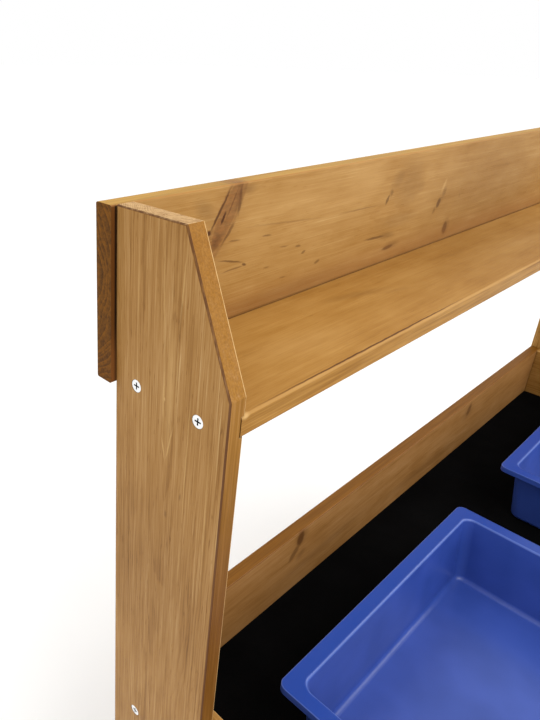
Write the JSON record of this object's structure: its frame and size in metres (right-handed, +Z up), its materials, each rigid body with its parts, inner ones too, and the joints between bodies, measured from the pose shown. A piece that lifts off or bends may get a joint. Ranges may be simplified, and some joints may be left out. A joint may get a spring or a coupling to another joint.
{
  "type": "sand and water table",
  "caption": "Wooden play table with a lined slatted tray, loose plastic bins that lift out, and a raised toy shelf between two tall end boards.",
  "frame": {"origin": "on the floor, under the middle of the table's outline", "axes": "+X along the table to its right, +Y towards the back board, +Z up"},
  "size_m": [1.008, 0.515, 0.9],
  "materials": {
    "stained_pine": "golden brown stain, satin, eased edges",
    "blue_plastic": "moulded polypropylene, soft gloss",
    "liner_cloth": "black non-woven cloth, very matte",
    "zinc_screws": "bright zinc plate"
  },
  "bodies": {
    "table": {"back_board": "stained_pine", "back_board_screws": "zinc_screws", "floor_slat_1": "stained_pine", "floor_slat_2": "stained_pine", "floor_slat_3": "stained_pine", "floor_slat_4": "stained_pine", "floor_slat_5": "stained_pine", "floor_slat_6": "stained_pine", "floor_slat_7": "stained_pine", "floor_slat_8": "stained_pine", "floor_slat_screws": "zinc_screws", "front_left_leg": "stained_pine", "front_right_leg": "stained_pine", "left_shelf_screws": "zinc_screws", "left_side_screws": "zinc_screws", "left_upright": "stained_pine", "lower_left_stretcher": "stained_pine", "lower_rear_stretcher": "stained_pine", "lower_right_stretcher": "stained_pine", "right_shelf_screws": "zinc_screws", "right_side_screws": "zinc_screws", "right_upright": "stained_pine", "shelf": "stained_pine", "shelf_back_screws": "zinc_screws", "stretcher_screws": "zinc_screws", "tray_front_rail": "stained_pine", "tray_front_screws": "zinc_screws", "tray_left_rail": "stained_pine", "tray_liner": "liner_cloth", "tray_rear_rail": "stained_pine", "tray_rear_screws": "zinc_screws", "tray_right_rail": "stained_pine"},
    "bin_left": {"bin_left": "blue_plastic"},
    "bin_right": {"bin_right": "blue_plastic"}
  },
  "joints": [
    {"name": "bin_left_lift", "type": "slide", "parent": "table", "child": "bin_left", "axis": [0, 0, 1], "range_m": [0, 0.16]},
    {"name": "bin_right_lift", "type": "slide", "parent": "table", "child": "bin_right", "axis": [0, 0, 1], "range_m": [0, 0.16]}
  ]
}
